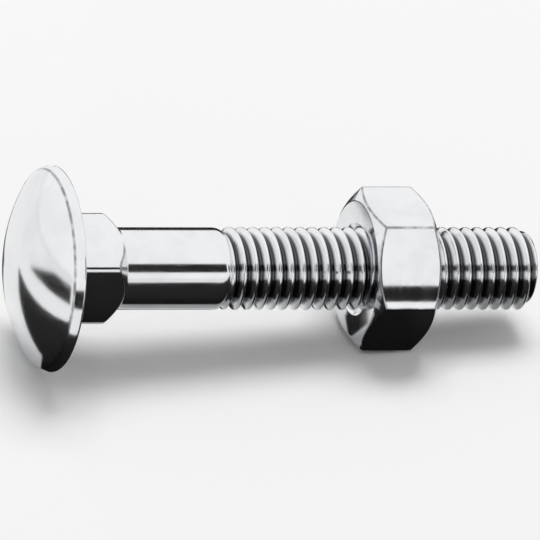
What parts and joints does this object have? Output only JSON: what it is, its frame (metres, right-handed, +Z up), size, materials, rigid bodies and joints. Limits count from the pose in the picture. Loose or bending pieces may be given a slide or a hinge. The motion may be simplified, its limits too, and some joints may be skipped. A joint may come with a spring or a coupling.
{
  "type": "carriage bolt with hex nut",
  "caption": "Carriage bolt lying on its side: shallow domed head, square neck, plain shank, long thread and a hex nut part-way along it.",
  "frame": {"origin": "on the bolt's axis, in the plane of the bearing face under the head", "axes": "+X runs level from the head towards the tip, +Z up, the bolt lying on the rim of its head and a corner edge of its nut, so that its axis dips 4.7 degrees below +X"},
  "size_m": [0.0653, 0.0246, 0.0245],
  "materials": {
    "bolt_steel": "bright zinc plate, polished",
    "nut_steel": "bright zinc plate, polished"
  },
  "bodies": {
    "bolt": {"carriage_bolt": "bolt_steel"},
    "nut": {"hex_nut": "nut_steel"}
  },
  "joints": [
    {"name": "nut_travel", "type": "slide", "parent": "bolt", "child": "nut", "axis": [0.9966, 0, -0.0819], "range_m": [-0.015, 0.024]}
  ]
}
